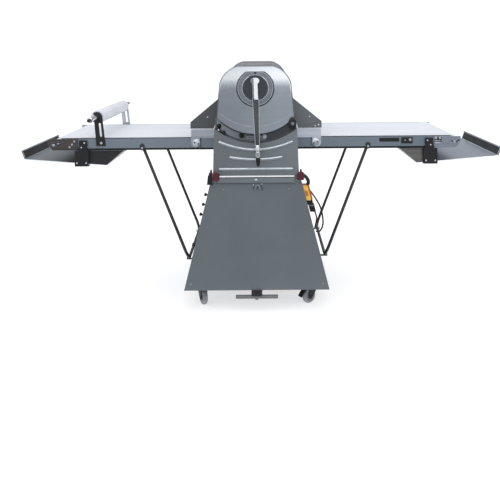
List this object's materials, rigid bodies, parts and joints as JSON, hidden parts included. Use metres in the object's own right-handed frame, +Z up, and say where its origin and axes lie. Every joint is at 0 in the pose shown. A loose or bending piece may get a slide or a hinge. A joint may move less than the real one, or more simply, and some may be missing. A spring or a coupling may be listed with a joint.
{
  "type": "dough sheeter",
  "caption": "Free-standing dough sheeter: two folding belt tables either side of a roller head with a thickness lever, on a tapered cabinet with castors, trays and a roll-up pin.",
  "frame": {"origin": "on the floor, under the centre of the roller head and midway between its side frames", "axes": "+X along the tables to the operator's right, -Y towards the operator, +Z up"},
  "size_m": [2.511, 0.9514, 1.228],
  "materials": {
    "slate_paint": "satin, fine texture",
    "cover_steel": "vertical brushed grain",
    "top_steel": "satin",
    "guard_paint": "satin dark grey",
    "rail_steel": "satin blue grey",
    "frame_steel": "satin",
    "plate_steel": "brushed, light",
    "bright_steel": "polished",
    "zinc": "zinc plated",
    "dial_grey": "satin",
    "lever_steel": "dark, polished bar",
    "black_plastic": "moulded",
    "black_paint": "satin black",
    "red_plastic": "moulded dark red",
    "amber_plastic": "moulded amber",
    "belt_white": "coated woven belt",
    "tray_steel": "satin sheet",
    "rod_dark": "satin dark",
    "pin_white": "smooth white",
    "wheel_grey": "grey tread",
    "motor_iron": "painted casting",
    "cable_black": "matt"
  },
  "bodies": {
    "base": {"cabinet_shell": "slate_paint", "front_panel": "slate_paint", "rear_panel": "slate_paint", "panel_screws": "zinc", "base_frame": "frame_steel", "ledge_strip": "bright_steel", "ledge_end_blocks": "red_plastic", "side_knobs": "black_plastic", "front_neck_housing": "slate_paint", "rear_housing": "slate_paint", "head_front_cover": "cover_steel", "head_top_cover": "top_steel", "dial_plate": "dial_grey", "side_frames": "frame_steel", "inner_frames": "rail_steel", "inner_belts": "belt_white", "hinge_cheeks": "plate_steel", "hinge_pins": "zinc", "drive_motor": "motor_iron", "drive_belt": "cable_black", "plug_box": "amber_plastic", "power_cable": "cable_black", "rear_castor_forks": "black_paint"},
    "lever": {"thickness_lever": "lever_steel", "lever_grip": "black_plastic", "lever_shaft": "frame_steel"},
    "carriage": {"upper_carriage": "motor_iron"},
    "upper_roller": {"upper_roller": "bright_steel"},
    "lower_roller": {"lower_roller": "bright_steel"},
    "left_drive": {"left_drive_roller": "zinc"},
    "right_drive": {"right_drive_roller": "zinc"},
    "motor_rotor": {"motor_pulley": "motor_iron"},
    "left_table": {"left_table_frame": "rail_steel", "left_table_belt": "belt_white", "left_tray": "tray_steel", "left_tray_brackets": "black_paint", "rollup_brackets": "black_paint"},
    "right_table": {"right_table_frame": "rail_steel", "right_table_belt": "belt_white", "right_tray": "tray_steel", "right_tray_brackets": "black_paint"},
    "left_end": {"left_end_roller": "zinc"},
    "right_end": {"right_end_roller": "zinc"},
    "left_support": {"left_support_rod": "rod_dark"},
    "right_support": {"right_support_rod": "rod_dark"},
    "rollup_pin": {"rollup_pin": "pin_white"},
    "left_guard": {"left_guard": "guard_paint"},
    "right_guard": {"right_guard": "guard_paint"},
    "pedal": {"foot_pedal": "rod_dark"},
    "left_castor": {"left_castor_fork": "black_paint"},
    "right_castor": {"right_castor_fork": "black_paint"},
    "left_front_wheel": {"left_front_wheel": "wheel_grey"},
    "right_front_wheel": {"right_front_wheel": "wheel_grey"},
    "left_rear_wheel": {"left_rear_wheel": "wheel_grey"},
    "right_rear_wheel": {"right_rear_wheel": "wheel_grey"},
    "brake_pedal": {"brake_pedal": "black_plastic"},
    "start_button": {"start_button": "black_plastic"},
    "stop_button": {"stop_button": "black_plastic"},
    "joystick": {"joystick": "black_plastic"},
    "panel_latch": {"panel_latch": "zinc"}
  },
  "joints": [
    {"name": "left_table_fold", "type": "hinge", "parent": "base", "child": "left_table", "pos_m": [-0.309, 0, 0.8245], "axis": [0, 1, 0], "range_deg": [0, 46]},
    {"name": "left_support_swing", "type": "hinge", "parent": "left_table", "child": "left_support", "pos_m": [-0.593, 0, 0.8], "axis": [0, 1, 0], "range_deg": [-42, 0]},
    {"name": "left_guard_lift", "type": "hinge", "parent": "base", "child": "left_guard", "pos_m": [-0.176, 0, 1.056], "axis": [0, 1, 0], "range_deg": [0, 60]},
    {"name": "left_drive_roller_spin", "type": "hinge", "parent": "base", "child": "left_drive", "pos_m": [-0.078, 0, 0.8233], "axis": [0, 1, 0], "continuous": true},
    {"name": "left_end_roller_spin", "type": "hinge", "parent": "left_table", "child": "left_end", "pos_m": [-1.034, 0, 0.8233], "axis": [0, 1, 0], "continuous": true},
    {"name": "right_table_fold", "type": "hinge", "parent": "base", "child": "right_table", "pos_m": [0.309, 0, 0.8245], "axis": [0, -1, 0], "range_deg": [0, 46]},
    {"name": "right_support_swing", "type": "hinge", "parent": "right_table", "child": "right_support", "pos_m": [0.583, 0, 0.8], "axis": [0, -1, 0], "range_deg": [-42, 0]},
    {"name": "right_guard_lift", "type": "hinge", "parent": "base", "child": "right_guard", "pos_m": [0.176, 0, 1.056], "axis": [0, -1, 0], "range_deg": [0, 60]},
    {"name": "right_drive_roller_spin", "type": "hinge", "parent": "base", "child": "right_drive", "pos_m": [0.078, 0, 0.8233], "axis": [0, 1, 0], "continuous": true},
    {"name": "right_end_roller_spin", "type": "hinge", "parent": "right_table", "child": "right_end", "pos_m": [1.034, 0, 0.8233], "axis": [0, 1, 0], "continuous": true},
    {"name": "lower_roller_spin", "type": "hinge", "parent": "base", "child": "lower_roller", "pos_m": [0, 0, 0.811], "axis": [0, 1, 0], "continuous": true},
    {"name": "thickness_turn", "type": "hinge", "parent": "base", "child": "lever", "pos_m": [0, -0.44, 1.117], "axis": [0, -1, 0], "range_deg": [-150, 150]},
    {"name": "upper_roller_lift", "type": "slide", "parent": "base", "child": "carriage", "axis": [0, 0, 1], "range_m": [-0.017, 0.017]},
    {"name": "upper_roller_spin", "type": "hinge", "parent": "carriage", "child": "upper_roller", "pos_m": [0, 0, 0.917], "axis": [0, 1, 0], "continuous": true},
    {"name": "motor_spin", "type": "hinge", "parent": "base", "child": "motor_rotor", "pos_m": [0, 0.3, 0.235], "axis": [0, 1, 0], "continuous": true},
    {"name": "rollup_pin_spin", "type": "hinge", "parent": "left_table", "child": "rollup_pin", "pos_m": [-0.829, 0, 0.962], "axis": [0, 1, 0], "continuous": true},
    {"name": "pedal_rock", "type": "hinge", "parent": "base", "child": "pedal", "pos_m": [0, -0.425, 0.094], "axis": [0, 1, 0], "range_deg": [-7, 7], "stiffness_Nm_per_rad": 2},
    {"name": "left_castor_swivel", "type": "hinge", "parent": "base", "child": "left_castor", "pos_m": [-0.287, -0.31, 0.09], "axis": [0, 0, 1], "continuous": true},
    {"name": "left_front_wheel_spin", "type": "hinge", "parent": "left_castor", "child": "left_front_wheel", "pos_m": [-0.27604, -0.33247, 0.0375], "axis": [0.8988, 0.4384, 0], "continuous": true},
    {"name": "left_rear_wheel_spin", "type": "hinge", "parent": "base", "child": "left_rear_wheel", "pos_m": [-0.287, 0.335, 0.0375], "axis": [-1, 0, 0], "continuous": true},
    {"name": "right_castor_swivel", "type": "hinge", "parent": "base", "child": "right_castor", "pos_m": [0.287, -0.31, 0.09], "axis": [0, 0, 1], "continuous": true},
    {"name": "right_front_wheel_spin", "type": "hinge", "parent": "right_castor", "child": "right_front_wheel", "pos_m": [0.26652, -0.32434, 0.0375], "axis": [0.5736, -0.8192, 0], "continuous": true},
    {"name": "right_rear_wheel_spin", "type": "hinge", "parent": "base", "child": "right_rear_wheel", "pos_m": [0.287, 0.335, 0.0375], "axis": [-1, 0, 0], "continuous": true},
    {"name": "brake_pedal_tilt", "type": "hinge", "parent": "right_castor", "child": "brake_pedal", "pos_m": [0.27307, -0.31975, 0.079], "axis": [0.5736, -0.8192, 0], "range_deg": [0, 8]},
    {"name": "start_button_press", "type": "slide", "parent": "base", "child": "start_button", "axis": [0, 1, 0], "range_m": [0, 0.004], "stiffness_N_per_m": 300},
    {"name": "stop_button_press", "type": "slide", "parent": "base", "child": "stop_button", "axis": [0, 1, 0], "range_m": [0, 0.004], "stiffness_N_per_m": 300},
    {"name": "joystick_tilt", "type": "hinge", "parent": "base", "child": "joystick", "pos_m": [0.187, -0.391, 0.916], "axis": [0, 1, 0], "range_deg": [-15, 15], "stiffness_Nm_per_rad": 0.5},
    {"name": "panel_latch_turn", "type": "hinge", "parent": "base", "child": "panel_latch", "pos_m": [0, -0.447, 0.66], "axis": [0, -1, 0], "range_deg": [0, 90]}
  ],
  "couplings": [
    {"joint": "left_support_swing", "follows": "left_table_fold", "ratio": -0.9},
    {"joint": "left_drive_roller_spin", "follows": "lower_roller_spin", "ratio": 1.5884},
    {"joint": "left_end_roller_spin", "follows": "lower_roller_spin", "ratio": 1.5884},
    {"joint": "right_support_swing", "follows": "right_table_fold", "ratio": -0.9},
    {"joint": "right_drive_roller_spin", "follows": "lower_roller_spin", "ratio": 1.5884},
    {"joint": "right_end_roller_spin", "follows": "lower_roller_spin", "ratio": 1.5884},
    {"joint": "upper_roller_spin", "follows": "lower_roller_spin", "ratio": -1},
    {"joint": "motor_spin", "follows": "lower_roller_spin", "ratio": 1.5},
    {"joint": "upper_roller_lift", "follows": "thickness_turn", "m_per_rad": 0.00649}
  ]
}
